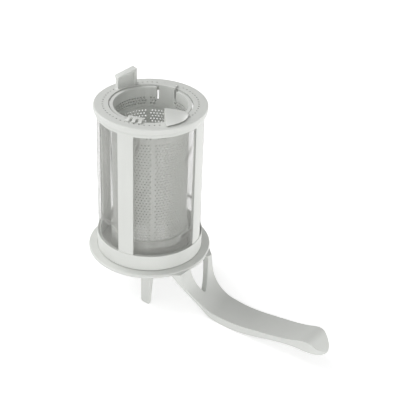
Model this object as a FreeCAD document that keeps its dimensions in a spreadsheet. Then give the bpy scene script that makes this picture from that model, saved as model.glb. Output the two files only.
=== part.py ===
import FreeCAD, Part
import math
import os

import Sketcher

# Dishwasher filter, standing upside down to its use: a coarse strainer with a forked handle,
# and a micro filter sleeve that slides over the strainer's tube and snaps under two tongues.
#
# Frame: Z is the axis of both cylinders and points away from the handle. The origin lies on
# that axis, in the flange's seat face, which lands on the rim of the dishwasher's sump.
# Azimuths are degrees about Z, counted from +X towards +Y. All lengths are millimetres.

SIZES = {
    # flange and tube of the coarse strainer
    "flange_rim": 6.2,
    "flange_thickness": 2.84,
    "flange_bevel": 0.8,
    "sleeve_land_depth": 0.2,
    "mouth_radius": 26.1,
    "tube_wall": 2.5,
    "rim_drop": 0.6,
    "stand_height": 31.8,
    # holes through the tube, in four fields with plain strips between them
    "hole_across": 2.4,
    "hole_fields": 4,
    "hole_columns": 5,
    "hole_rows": 7,
    "hole_pitch_angle": 14.0,
    "hole_margin_below": 22.0,
    "hole_margin_above": 17.3,
    "strip_azimuth": 6.0,
    # two snap tongues in the tube's rim, and the low stretch of rim beside one
    "back_tongue_azimuth": 64.0,
    "back_tongue_half_angle": 15.1,
    "back_head_half_angle": 13.2,
    "front_tongue_azimuth": -111.2,
    "front_tongue_half_angle": 13.5,
    "front_head_half_angle": 11.5,
    "slit_width": 1.7,
    "slit_depth": 10.1,
    "tongue_rise": 1.8,
    "hook_reach": 4.2,
    "hook_width": 11.0,
    "gusset_width": 2.4,
    "gusset_spacing": 8.0,
    "rim_notch_depth": 3.0,
    "rim_notch_angle": 38.0,
    # pegs under the flange
    "peg_azimuth": -92.3,
    "peg_inset": 12.4,
    "peg_width": 8.3,
    "peg_root": 5.2,
    "peg_foot": 1.4,
    "peg_bevel": 1.2,
    # forked handle
    "handle_azimuth": -41.0,
    "handle_reach": 115.6,
    "handle_wall": 1.8,
    "handle_skin": 1.8,
    "neck_half_width": 12.8,
    "tip_half_width": 10.6,
    "tip_length": 16.0,
    "leg_depth": 5.7,
    "leg_spread": 24.3,
    # the opening between the legs, in a plane square to their slope: how far down the slope its
    # corners lie, and how far left or right of the handle's middle
    "fork_slope_angle": 30.0,
    "fork_run_in": 8.0,
    "fork_left_top": 9.0,
    "fork_right_top": 14.6,
    "fork_middle": 14.4,
    "fork_right_middle": 7.4,
    "fork_left_tip": 21.0,
    "fork_left_foot": 2.8,
    "fork_tip": 22.0,
    "fork_tip_foot": 1.4,
    "collar_knee_back": 1.4,
    "collar_knee_drop": 13.4,
    "collar_neck_reach": 5.2,
    "collar_neck_drop": 22.1,
    # side view of the handle: reach out from the flange's edge, or distance back from the
    # handle's tip, and drop below the seat face
    "knee_reach": 4.2,
    "knee_drop": 13.0,
    "neck_reach": 17.6,
    "neck_drop": 23.4,
    "dip_reach": 34.6,
    "dip_depth": 6.2,
    "back_reach": 66.6,
    "back_drop": 20.9,
    "shoulder_back": 19.4,
    "shoulder_drop": 12.9,
    "crown_back": 11.5,
    "crown_drop": 10.9,
    "nose_back": 5.5,
    "nose_drop": 13.9,
    "tip_drop": 19.2,
    "tip_edge": 0.9,
    "low_knee_reach": 1.6,
    "low_knee_drop": 13.4,
    "low_neck_reach": 15.6,
    "low_neck_drop": 26.3,
    "back_depth": 5.5,
    "heel_back": 13.0,
    "heel_drop": 19.2,
    # micro filter sleeve
    "running_gap": 0.3,
    "ring_width": 10.5,
    "ring_ledge": 1.6,
    "ring_flare": 2.4,
    "ring_bottom": 111.2,
    "ring_top": 115.1,
    "ring_plate": 2.4,
    "ring_bevel": 0.7,
    "ring_hole_gap": 0.9,
    "neck_bottom": 107.7,
    "sleeve_wall": 2.1,
    "band_step": 0.5,
    "band_top": 12.1,
    "strut_azimuth": -26.8,
    "strut_angle": 17.8,
    "strut_count": 4,
    # one circle of fine holes in the top ring
    "vent_margin": 3.9,
    "vent_across": 1.1,
    "vent_pitch_angle": 6.0,
    "vent_start_azimuth": 4.4,
    "vent_clear_angle": 1.5,
    # woven mesh, moulded into the sleeve
    "mesh_depth": 0.4,
    "mesh_thickness": 0.4,
    "mesh_anchor": 2.6,
    "mesh_gap": 1.6,
    "mesh_gap_columns": 4,
    "mesh_gap_rows": 4,
    # bayonet tab and bayonet ramp on the top ring
    "tab_azimuth": 123.7,
    "tab_margin": 0.1,
    "tab_half_width": 7.7,
    "tab_depth": 4.4,
    "tab_recess": 1.1,
    "tab_rib": 2.2,
    "tab_high_side": 12.7,
    "tab_low_side": 9.2,
    "lip_thickness": 2.0,
    "lip_overhang": 1.0,
    "ramp_start_azimuth": -72.2,
    "ramp_middle_azimuth": -51.0,
    "ramp_tip_azimuth": -32.0,
    "ramp_end_turn": -6.6,
    "ramp_height": 10.2,
    "ramp_middle_height": 6.5,
    "ramp_tip_height": 0.8,
    "ramp_width": 7.7,
    "ramp_middle_width": 6.0,
    "ramp_tip_width": 1.2,
    "ramp_gap": 0.7,
}

doc = FreeCAD.newDocument("dishwasher_filter")
sheet = doc.addObject("Spreadsheet::Sheet", "sizes")
for row, (alias, value) in enumerate(SIZES.items(), start=1):
    sheet.set("A%d" % row, alias)
    sheet.set("B%d" % row, str(value))
    sheet.setAlias("B%d" % row, alias)
doc.recompute()

UP = FreeCAD.Vector(0, 0, 1)
OVERCUT = 1.0
TUBE_OUTSIDE = "sizes.mouth_radius + sizes.tube_wall"
TUBE_RIM = "sizes.ring_top - sizes.rim_drop"
RING_HOLE = TUBE_OUTSIDE + " + sizes.ring_hole_gap"
RING_RADIUS = RING_HOLE + " + sizes.ring_width"
SLEEVE_RADIUS = RING_RADIUS + " - sizes.ring_ledge"
SLEEVE_INSIDE = SLEEVE_RADIUS + " - sizes.sleeve_wall"
BAND_RADIUS = SLEEVE_RADIUS + " + sizes.band_step"
MESH_RADIUS = SLEEVE_RADIUS + " - sizes.mesh_depth"
LAND_RADIUS = BAND_RADIUS + " + sizes.running_gap"
FLANGE_RADIUS = LAND_RADIUS + " + sizes.flange_rim"


def size(alias):
    """A driving dimension, read from the sheet."""
    return float(sheet.get(alias))


def bind(thing, **expressions):
    """Tie properties of an object to the sheet. A double underscore stands for a dot."""
    for name, expression in expressions.items():
        thing.setExpression(name.replace("__", "."), expression)
    return thing


def turned(thing, azimuth):
    """Turn an object about the filter's axis by an azimuth expression."""
    thing.Placement = FreeCAD.Placement(FreeCAD.Vector(), FreeCAD.Rotation(UP, 1.0))
    return bind(thing, Placement__Rotation__Angle=azimuth)


def cylinder(name, radius, bottom, height, angle="360"):
    """A cylinder, or a slice of one that starts at azimuth 0, standing on the axis."""
    round_bar = doc.addObject("Part::Cylinder", name)
    return bind(round_bar, Radius=radius, Height=height, Angle=angle, Placement__Base__z=bottom)


def cut(name, base, tool):
    difference = doc.addObject("Part::Cut", name)
    difference.Base = base
    difference.Tool = tool
    return difference


def fuse(name, pieces):
    union = doc.addObject("Part::MultiFuse", name)
    union.Shapes = pieces
    return union


def tube(name, inner, outer, bottom, height):
    """A straight tube on the axis, from its two radii."""
    shell = cylinder(name + "_outside", outer, bottom, height)
    core = cylinder(name + "_inside", inner, bottom, height)
    return cut(name, shell, core)


def feature(name, shape):
    """A shape worked out below from the sheet's values."""
    made = doc.addObject("Part::Feature", name)
    made.Shape = shape
    return made


def prism(name, corners, along):
    """A straight prism: a polygon of 3-D corners carried along a vector."""
    points = [FreeCAD.Vector(*corner) for corner in corners]
    face = Part.Face(Part.makePolygon(points + points[:1]))
    return feature(name, face.extrude(FreeCAD.Vector(*along)))


def profile_sketch(body, name, corners):
    """A closed outline on the body's XZ plane, each corner tied to two sheet expressions."""
    sketch = body.newObject("Sketcher::SketchObject", name)
    plane = [f for f in body.Origin.OriginFeatures if f.Role == "XZ_Plane"][0]
    sketch.AttachmentSupport = [(plane, "")]
    sketch.MapMode = "FlatFace"
    places = [(sheet_value(across), sheet_value(up)) for across, up in corners]
    count = len(places)
    for index in range(count):
        start = FreeCAD.Vector(*places[index], 0)
        end = FreeCAD.Vector(*places[(index + 1) % count], 0)
        sketch.addGeometry(Part.LineSegment(start, end), False)
    for index in range(count):
        sketch.addConstraint(Sketcher.Constraint("Coincident", index, 2, (index + 1) % count, 1))
    for index, (across, up) in enumerate(corners):
        for kind, expression in (("DistanceX", across), ("DistanceY", up)):
            if expression == "0":
                sketch.addConstraint(Sketcher.Constraint("PointOnObject", index, 1, -1))
                continue
            row = sketch.addConstraint(
                Sketcher.Constraint(kind, -1, 1, index, 1, sheet_value(expression)))
            sketch.setExpression("Constraints[%d]" % row, expression)
    return sketch


def sheet_value(expression):
    """The number that a sum of sheet values comes to."""
    total = 0.0
    for word in expression.replace("- ", "-").replace("+ ", "").split():
        sign = -1.0 if word.startswith("-") else 1.0
        word = word.lstrip("-")
        total += sign * (size(word[6:]) if word.startswith("sizes.") else float(word))
    return total


def turned_body(name, corners):
    """A body of revolution about the filter's axis."""
    body = doc.addObject("PartDesign::Body", name)
    sketch = profile_sketch(body, name + "_outline", corners)
    whole = body.newObject("PartDesign::Revolution", name + "_turning")
    whole.Profile = sketch
    whole.ReferenceAxis = (sketch, ["V_Axis"])
    whole.Angle = 360.0
    body.Tip = whole
    doc.recompute()
    return body


# Coarse strainer: flange and tube

strainer_core = turned_body("strainer_core", [
    ("sizes.mouth_radius", "-sizes.flange_thickness"),
    (FLANGE_RADIUS + " - sizes.flange_bevel", "-sizes.flange_thickness"),
    (FLANGE_RADIUS, "sizes.flange_bevel - sizes.flange_thickness"),
    (FLANGE_RADIUS, "-sizes.flange_bevel"),
    (FLANGE_RADIUS + " - sizes.flange_bevel", "0"),
    (LAND_RADIUS, "0"),
    (LAND_RADIUS, "-sizes.sleeve_land_depth"),
    (TUBE_OUTSIDE, "-sizes.sleeve_land_depth"),
    (TUBE_OUTSIDE, TUBE_RIM),
    ("sizes.mouth_radius", TUBE_RIM),
])

# Holes of the coarse strainer, in staggered rows, each a square bar through the wall

ROW_STAGGER = 0.25


def tube_holes():
    """Radial square bars through the tube's wall, in fields between the plain strips."""
    across = size("hole_across")
    pitch = size("hole_pitch_angle")
    columns = int(size("hole_columns"))
    rows = int(size("hole_rows"))
    fields = int(size("hole_fields"))
    first_row = size("hole_margin_below")
    row_pitch = (sheet_value(TUBE_RIM) - size("hole_margin_above") - first_row) / (rows - 1)
    bar = Part.makeBox(size("tube_wall") + 2.0 * OVERCUT, across, across, FreeCAD.Vector(
        size("mouth_radius") - OVERCUT, -0.5 * across, first_row - 0.5 * across))
    bars = []
    for field in range(fields):
        middle = size("strip_azimuth") + (field + 0.5) * 360.0 / fields
        for row in range(rows):
            stagger = ROW_STAGGER if row % 2 else -ROW_STAGGER
            for column in range(columns):
                placed = bar.copy()
                placed.translate(UP * (row * row_pitch))
                azimuth = middle + (column - 0.5 * (columns - 1) + stagger) * pitch
                placed.rotate(FreeCAD.Vector(), UP, azimuth)
                bars.append(placed)
    return Part.makeCompound(bars)


# Snap tongues: slits either side and a raised head that hooks out over the top ring. The back
# one has one wide hook, the front one three gussets. A hook's outer end stands up to a share
# of its height, and slopes over a share of its reach.

HOOK_STEP = 0.35
HOOK_CREST = 0.45


def slit(name, azimuth):
    """A slot through the tube's wall, open at the rim."""
    blade = doc.addObject("Part::Box", name)
    bind(blade, Length="sizes.tube_wall + 2 * %g" % OVERCUT, Width="sizes.slit_width",
         Height="sizes.slit_depth + %g" % OVERCUT,
         Placement__Base__x="sizes.mouth_radius - %g" % OVERCUT,
         Placement__Base__y="-sizes.slit_width / 2",
         Placement__Base__z=TUBE_RIM + " - sizes.slit_depth")
    holder = doc.addObject("Part::Compound", name + "_cut")
    holder.Links = [blade]
    return turned(holder, azimuth)


def tongue_head(name, hook_width, hook_turns):
    """The tongue's end, raised above the top ring, with hooks that reach out over it."""
    half_angle = "sizes.%s_head_half_angle" % name
    rise = "sizes.tongue_rise + sizes.rim_drop"
    block = cylinder(name + "_outside", TUBE_OUTSIDE, TUBE_RIM + " - %g" % OVERCUT,
                     rise + " + %g" % OVERCUT, "2 * " + half_angle)
    core = cylinder(name + "_inside", "sizes.mouth_radius", TUBE_RIM + " - 2 * %g" % OVERCUT,
                    rise + " + 4 * %g" % OVERCUT)
    head = turned(cut(name + "_block", block, core), "-" + half_angle)
    inner = size("mouth_radius") + 0.5 * size("tube_wall")
    outer = sheet_value(TUBE_OUTSIDE) + size("hook_reach")
    low = size("ring_top") + size("running_gap")
    high = size("ring_top") + size("tongue_rise")
    step_height = low + HOOK_STEP * (high - low)
    crest = outer - HOOK_CREST * size("hook_reach")
    outline = [(inner, 0, low), (outer, 0, low), (outer, 0, step_height), (crest, 0, high),
               (inner, 0, high)]
    pieces = [head]
    for number, turn in enumerate(hook_turns, start=1):
        hook = prism("%s_hook%d" % (name, number),
                     [(x, -0.5 * hook_width, z) for x, y, z in outline], (0, hook_width, 0))
        pieces.append(turned(hook, turn))
    return turned(fuse(name + "_tongue", pieces), "sizes.%s_tongue_azimuth" % name)


def peg(name, azimuth):
    """A post under the flange, square to the handle, thinned towards its foot from inside."""
    circle = sheet_value(FLANGE_RADIUS) - size("peg_inset")
    lean = math.radians(size("handle_azimuth") - size("peg_azimuth"))
    forward = FreeCAD.Vector(math.cos(lean), math.sin(lean), 0)
    outward = FreeCAD.Vector(math.sin(lean), -math.cos(lean), 0)
    width = size("peg_width")
    root = size("peg_root")
    foot = size("peg_foot")
    top = -0.5 * size("flange_thickness")
    bottom = -size("stand_height")
    corner = FreeCAD.Vector(circle, 0, 0) - forward * (0.5 * width) + outward * (0.5 * root)
    outline = [corner + UP * top,
               corner - outward * root + UP * top,
               corner - outward * foot + UP * bottom,
               corner + UP * bottom]
    blade = Part.Face(Part.makePolygon(outline + outline[:1])).extrude(forward * width)
    foot_edges = [edge for edge in blade.Edges
                  if abs(edge.CenterOfMass.z - bottom) < 0.001
                  and abs(edge.Length - foot) < 0.001]
    return turned(feature(name, blade.makeChamfer(size("peg_bevel"), foot_edges)), azimuth)


# Forked handle: a side view carried across, kept inside a plan view, hollow beneath.
# Directions of the side view's curves: down a leg's outside, down its inside, along a crest or
# dip, and over the nose. The opening runs both ways through the legs by a few leg depths.

STEEP = (0.2, -1.0)
SLOPED = (0.5, -1.0)
LEVEL = (1.0, 0.0)
ROLLED = (1.0, -1.0)
OPENING_RUN = 3.0


def spline(points, first, last):
    """A smooth curve through points of the side view, with its two end directions."""
    curve = Part.BSplineCurve()
    curve.interpolate(Points=[FreeCAD.Vector(x, 0, z) for x, z in points],
                      InitialTangent=FreeCAD.Vector(first[0], 0, first[1]),
                      FinalTangent=FreeCAD.Vector(last[0], 0, last[1]))
    return curve.toShape()


def side_point(name):
    """A named point of the side view, set out from the flange's edge or back from the tip."""
    rim = sheet_value(FLANGE_RADIUS)
    if name + "_back" in SIZES:
        return rim + size("handle_reach") - size(name + "_back"), -size(name + "_drop")
    return rim + size(name + "_reach"), -size(name + "_drop")


def handle_side(low_knee, low_neck, low_start):
    """Side view: legs that fall to a dip, and a back that rises to its crown and rolled nose.

    The legs' lower line sets out in a direction of its own and passes a knee and a neck.
    """
    rim = sheet_value(FLANGE_RADIUS)
    edge = size("flange_bevel")
    floor = -size("stand_height")
    root = rim - size("leg_depth")
    end = rim + size("handle_reach") + OVERCUT
    low_dip = (rim + size("dip_reach"), floor)
    dip = (low_dip[0], floor + size("dip_depth"))
    back = side_point("back")
    low_back = (back[0], back[1] - size("back_depth"))
    crown = side_point("crown")
    tip = (end, -size("tip_drop"))
    low_tip = (end, -size("tip_drop") - size("tip_edge"))
    edges = [
        spline([(rim, -edge), side_point("knee"), side_point("neck"), dip], STEEP, LEVEL),
        spline([dip, back, side_point("shoulder"), crown], LEVEL, LEVEL),
        spline([crown, side_point("nose"), tip], LEVEL, ROLLED),
        spline([(root, -edge), low_knee, low_neck, low_dip], low_start, LEVEL),
        spline([low_dip, low_back, side_point("heel"), low_tip], LEVEL, LEVEL),
        Part.makeLine(FreeCAD.Vector(rim, 0, -edge), FreeCAD.Vector(root, 0, -edge)),
        Part.makeLine(FreeCAD.Vector(end, 0, tip[1]), FreeCAD.Vector(end, 0, low_tip[1])),
    ]
    return Part.Face(Part.Wire(Part.__sortEdges__(edges)))


def handle_plan(inset=0.0):
    """Plan view, or the same drawn in by an inset: flared legs, a taper and an oval end."""
    half = size("neck_half_width") - inset
    tip_half = size("tip_half_width") - inset
    spread = size("leg_spread") - inset
    rim = sheet_value(FLANGE_RADIUS)
    neck = rim + size("neck_reach")
    end = rim + size("handle_reach") - size("tip_length")
    root = math.sqrt(rim ** 2 - size("leg_spread") ** 2)
    back = root - size("leg_depth") + inset
    flare = ((neck - root) ** 2 + (spread - half) ** 2) / (2.0 * (spread - half))
    turn = 0.5 * math.asin((neck - root) / flare)
    middle = FreeCAD.Vector(neck - flare * math.sin(turn),
                            half + flare * (1.0 - math.cos(turn)), 0)

    def other(point):
        return FreeCAD.Vector(point.x, -point.y, point.z)

    leg = FreeCAD.Vector(root, spread, 0)
    waist = FreeCAD.Vector(neck, half, 0)
    shoulder = FreeCAD.Vector(end, tip_half, 0)
    heel = FreeCAD.Vector(back, spread, 0)
    oval = Part.Ellipse(FreeCAD.Vector(end, 0, 0), size("tip_length") - inset, tip_half)
    edges = [Part.makeLine(heel, leg),
             Part.Arc(leg, middle, waist).toShape(),
             Part.makeLine(waist, shoulder),
             Part.ArcOfEllipse(oval, -0.5 * math.pi, 0.5 * math.pi).toShape(),
             Part.makeLine(other(shoulder), other(waist)),
             Part.Arc(other(waist), other(middle), other(leg)).toShape(),
             Part.makeLine(other(leg), other(heel)),
             Part.makeLine(other(heel), heel)]
    return Part.Face(Part.Wire(Part.__sortEdges__(edges)))


def fork_opening():
    """Outline of the opening between the legs: one straight side, one round, and a blunt tip."""
    rim = sheet_value(FLANGE_RADIUS)
    slope = math.radians(size("fork_slope_angle"))

    def corner(down, across):
        return FreeCAD.Vector(rim + down * math.sin(slope), across, -down * math.cos(slope))

    left_top = corner(-size("fork_run_in"), -size("fork_left_top"))
    right_top = corner(-size("fork_run_in"), size("fork_right_top"))
    middle = corner(size("fork_middle"), size("fork_right_middle"))
    left_tip = corner(size("fork_left_tip"), -size("fork_left_foot"))
    tip = corner(size("fork_tip"), -size("fork_tip_foot"))
    edges = [Part.makeLine(left_top, left_tip),
             Part.makeLine(left_tip, tip),
             Part.Arc(tip, middle, right_top).toShape(),
             Part.makeLine(right_top, left_top)]
    return Part.Face(Part.Wire(Part.__sortEdges__(edges)))


def through_legs(face):
    """The opening's outline carried through the legs, square to their slope."""
    slope = math.radians(size("fork_slope_angle"))
    way = FreeCAD.Vector(math.cos(slope), 0, math.sin(slope))
    inside = face.copy()
    inside.translate(way * (-OPENING_RUN * size("leg_depth")))
    return inside.extrude(way * (2.0 * OPENING_RUN * size("leg_depth")))


def upright(face):
    """A plan view carried from the standing plane up to the flange."""
    low = face.copy()
    low.translate(FreeCAD.Vector(0, 0, -size("stand_height") - OVERCUT))
    return low.extrude(FreeCAD.Vector(0, 0, size("stand_height") + OVERCUT))


def across_handle(side):
    """A side view carried across the whole handle, past both legs."""
    across = size("leg_spread") + OVERCUT
    left = side.copy()
    left.translate(FreeCAD.Vector(0, -across, 0))
    return left.extrude(FreeCAD.Vector(0, 2.0 * across, 0))


def handle():
    """The handle: a skin with a wall along its outline, and a deeper collar round the fork."""
    wall = size("handle_wall")
    skin = size("handle_skin")
    knee = (sheet_value(FLANGE_RADIUS) - size("collar_knee_back"), -size("collar_knee_drop"))
    shallow = across_handle(handle_side(side_point("low_knee"), side_point("low_neck"), SLOPED))
    deep = across_handle(handle_side(knee, side_point("collar_neck"), STEEP))
    opening = fork_opening()
    collar = through_legs(opening.makeOffset2D(wall))
    hollow = shallow.copy()
    hollow.translate(FreeCAD.Vector(-skin, 0, -skin))
    hollow = hollow.common(upright(handle_plan(wall))).cut(collar)
    solid = shallow.fuse(deep.common(collar)).common(upright(handle_plan())).cut(hollow)
    solid = solid.cut(through_legs(opening)).removeSplitter()
    return turned(feature("handle", solid), "sizes.handle_azimuth")


slits = []
for tongue in ("back", "front"):
    for side in (-1, 1):
        place = "sizes.%s_tongue_azimuth + %d * sizes.%s_tongue_half_angle" % (tongue, side, tongue)
        slits.append(slit("%s_slit%d" % (tongue, len(slits) + 1), place))
rim_notch = turned(
    cylinder("rim_notch", TUBE_OUTSIDE + " + %g" % OVERCUT,
             TUBE_RIM + " - sizes.rim_notch_depth",
             "sizes.rim_notch_depth + %g" % OVERCUT, "sizes.rim_notch_angle"),
    "sizes.front_tongue_azimuth + sizes.front_tongue_half_angle")
slit_core = cut("slit_core", strainer_core, fuse("rim_cuts", slits + [rim_notch]))
plain_strainer = fuse("plain_strainer", [
    slit_core,
    tongue_head("back", size("hook_width"), ["0"]),
    tongue_head("front", size("gusset_width"),
                ["-sizes.gusset_spacing", "0", "sizes.gusset_spacing"]),
    peg("front_peg", "sizes.peg_azimuth"),
    peg("back_peg", "sizes.peg_azimuth + 180"),
    handle(),
])
coarse_strainer = cut("coarse_strainer", plain_strainer, feature("tube_holes", tube_holes()))

# Sleeve frame: top ring, neck, band and the wall that the windows are cut from

sleeve_core = turned_body("sleeve_core", [
    (SLEEVE_INSIDE, "sizes.running_gap - sizes.sleeve_land_depth"),
    (BAND_RADIUS, "sizes.running_gap - sizes.sleeve_land_depth"),
    (BAND_RADIUS, "sizes.band_top"),
    (SLEEVE_RADIUS, "sizes.band_top"),
    (SLEEVE_RADIUS, "sizes.ring_bottom - sizes.ring_flare"),
    (RING_RADIUS, "sizes.ring_bottom"),
    (RING_RADIUS, "sizes.ring_top - sizes.ring_bevel"),
    (RING_RADIUS + " - sizes.ring_bevel", "sizes.ring_top"),
    (RING_HOLE, "sizes.ring_top"),
    (RING_HOLE, "sizes.ring_top - sizes.ring_plate"),
    (SLEEVE_INSIDE, "sizes.ring_top - sizes.ring_plate"),
])


def window(name, number):
    """One window between two struts, as a slice of a thick tube."""
    angle = "(360 / sizes.strut_count - sizes.strut_angle)"
    outside = cylinder(name + "_outside", BAND_RADIUS + " + %g" % OVERCUT,
                       "sizes.band_top", "sizes.neck_bottom - sizes.band_top", angle)
    inside = cylinder(name + "_inside", SLEEVE_INSIDE + " - %g" % OVERCUT,
                      "sizes.band_top", "sizes.neck_bottom - sizes.band_top")
    azimuth = "sizes.strut_azimuth + sizes.strut_angle / 2 + %d * 360 / sizes.strut_count"
    return turned(cut(name, outside, inside), azimuth % number)


def vents():
    """Square bars for the circle of fine holes, left out under the tab, ramp and tongue."""
    across = size("vent_across")
    bar = Part.makeBox(across, across, size("ring_plate") + 2.0 * OVERCUT, FreeCAD.Vector(
        sheet_value(RING_HOLE) + size("vent_margin") - 0.5 * across, -0.5 * across,
        size("ring_top") - size("ring_plate") - OVERCUT))
    tongue = size("back_tongue_azimuth")
    clear = size("back_head_half_angle")
    ramp_end = 0.5 * (size("ramp_middle_azimuth") + size("ramp_tip_azimuth"))
    tab_half = math.degrees(math.atan2(size("tab_half_width"), sheet_value(RING_HOLE)))
    covered = [(tongue - clear, tongue + clear),
               (size("tab_azimuth") - tab_half, size("tab_azimuth") + tab_half),
               (size("ramp_start_azimuth"), ramp_end)]
    margin = size("vent_clear_angle")
    bars = []
    for number in range(int(round(360.0 / size("vent_pitch_angle")))):
        azimuth = size("vent_start_azimuth") + number * size("vent_pitch_angle")
        if any((azimuth - low + margin) % 360.0 < high - low + 2.0 * margin
               for low, high in covered):
            continue
        placed = bar.copy()
        placed.rotate(FreeCAD.Vector(), UP, azimuth)
        bars.append(placed)
    return Part.makeCompound(bars)


def bayonet_tab():
    """A recessed upright plate with a sloped, overhanging lip."""
    near = sheet_value(RING_HOLE) + size("tab_margin")
    half = size("tab_half_width")
    foot = size("ring_top") - 0.5 * size("ring_plate")
    high = size("ring_top") + size("tab_high_side")
    low = size("ring_top") + size("tab_low_side")
    lip = size("lip_thickness")
    rib = size("tab_rib")
    depth = size("tab_depth")
    plate = prism("tab_plate", [(near, -half, foot), (near, half, foot), (near, half, low),
                                (near, -half, high)], (depth, 0, 0))
    fall = (high - low) / (2.0 * half)
    recess = prism("tab_recess", [(near - OVERCUT, rib - half, size("ring_top")),
                                  (near - OVERCUT, half + OVERCUT, size("ring_top")),
                                  (near - OVERCUT, half + OVERCUT, low - lip - fall * OVERCUT),
                                  (near - OVERCUT, rib - half, high - lip - fall * rib)],
                   (size("tab_recess") + OVERCUT, 0, 0))
    cap = prism("tab_lip", [(near, -half, high - lip), (near, half, low - lip),
                            (near, half, low), (near, -half, high)],
                (depth + size("lip_overhang"), 0, 0))
    body = fuse("tab", [cut("tab_web", plate, recess), cap])
    return turned(body, "sizes.tab_azimuth")


# The bayonet ramp's section, as shares of its own width and height

RAMP_BULGE_REACH = 0.55
RAMP_BULGE_HEIGHT = 0.72
RAMP_WEB = 0.35


def ramp_section(azimuth, turn, height, width):
    """One upright section of the bayonet ramp, from its foot over a round back to its skirt."""
    inner = sheet_value(RING_HOLE)
    top = size("ring_top")
    foot = top - 0.5 * size("ring_plate")
    skirt = top + min(size("ramp_gap"), 0.5 * height)
    web = inner + RAMP_WEB * width

    def corner(across, up):
        return FreeCAD.Vector(across, 0, up)

    crest = corner(inner, top + height)
    bulge = corner(inner + RAMP_BULGE_REACH * width, top + RAMP_BULGE_HEIGHT * height)
    edge = corner(inner + width, skirt)
    wire = Part.Wire([Part.makeLine(corner(inner, foot), crest),
                      Part.Arc(crest, bulge, edge).toShape(),
                      Part.makeLine(edge, corner(web, skirt)),
                      Part.makeLine(corner(web, skirt), corner(web, foot)),
                      Part.makeLine(corner(web, foot), corner(inner, foot))])
    wire.rotate(corner(inner, 0), UP, turn)
    wire.rotate(FreeCAD.Vector(), UP, azimuth)
    return wire


def bayonet_ramp():
    """A cam that falls from its tall end to a thin tip along the hole's edge."""
    sections = [ramp_section(size("ramp_start_azimuth"), size("ramp_end_turn"),
                             size("ramp_height"), size("ramp_width")),
                ramp_section(size("ramp_middle_azimuth"), 0, size("ramp_middle_height"),
                             size("ramp_middle_width")),
                ramp_section(size("ramp_tip_azimuth"), 0, size("ramp_tip_height"),
                             size("ramp_tip_width"))]
    return feature("ramp", Part.makeLoft(sections, True, False))


mesh_inside = MESH_RADIUS + " - sizes.mesh_thickness"
mesh_bottom = "sizes.band_top - sizes.mesh_anchor"
mesh_height = "sizes.neck_bottom - sizes.band_top + 2 * sizes.mesh_anchor"
windows = [window("window%d" % (number + 1), number) for number in range(int(size("strut_count")))]
mesh_seat = tube("mesh_seat", mesh_inside, MESH_RADIUS, mesh_bottom, mesh_height)
sleeve_shell = cut("sleeve_shell", sleeve_core, fuse("sleeve_cuts", windows + [mesh_seat]))
plain_sleeve = fuse("plain_sleeve", [sleeve_shell, bayonet_tab(), bayonet_ramp()])
sleeve_frame = cut("sleeve_frame", plain_sleeve, feature("vents", vents()))

# Mesh sleeve: a thin woven wall, shown with a few of its gaps


def mesh_gaps():
    """Small square bars through the mesh, spread over each window."""
    gap = size("mesh_gap")
    start = sheet_value(mesh_inside) - OVERCUT
    bar = Part.makeBox(size("mesh_thickness") + 2.0 * OVERCUT, gap, gap,
                       FreeCAD.Vector(start, -0.5 * gap, -0.5 * gap))
    sector = 360.0 / size("strut_count")
    span = sector - size("strut_angle")
    height = size("neck_bottom") - size("band_top")
    columns = int(size("mesh_gap_columns"))
    rows = int(size("mesh_gap_rows"))
    bars = []
    for number in range(int(size("strut_count"))):
        first = size("strut_azimuth") + 0.5 * size("strut_angle") + number * sector
        for column in range(columns):
            for row in range(rows):
                placed = bar.copy()
                level = size("band_top") + height * (row + 0.5) / rows
                placed.translate(FreeCAD.Vector(0, 0, level))
                placed.rotate(FreeCAD.Vector(), UP, first + span * (column + 0.5) / columns)
                bars.append(placed)
    return Part.makeCompound(bars)


mesh_wall = tube("mesh_wall", mesh_inside, MESH_RADIUS, mesh_bottom, mesh_height)
mesh_sleeve = cut("mesh_sleeve", mesh_wall, feature("mesh_gaps", mesh_gaps()))

doc.recompute()

for thing in doc.Objects:
    if "Invalid" in thing.State or "Error" in thing.State:
        raise RuntimeError("%s did not recompute: %s" % (thing.Name, thing.State))

os.makedirs("parts", exist_ok=True)
for part in (coarse_strainer, sleeve_frame, mesh_sleeve):
    part.Label = part.Name
    shape = part.Shape
    if shape.isNull() or not shape.isValid() or len(shape.Solids) != 1:
        raise RuntimeError("%s is not one valid solid" % part.Label)
    shape.exportStep("parts/%s.step" % part.Label)
    box = shape.BoundBox
    print("%s: %.0f mm3, x %.1f..%.1f, y %.1f..%.1f, z %.1f..%.1f" % (
        part.Label, shape.Volume, box.XMin, box.XMax, box.YMin, box.YMax, box.ZMin, box.ZMax))
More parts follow.
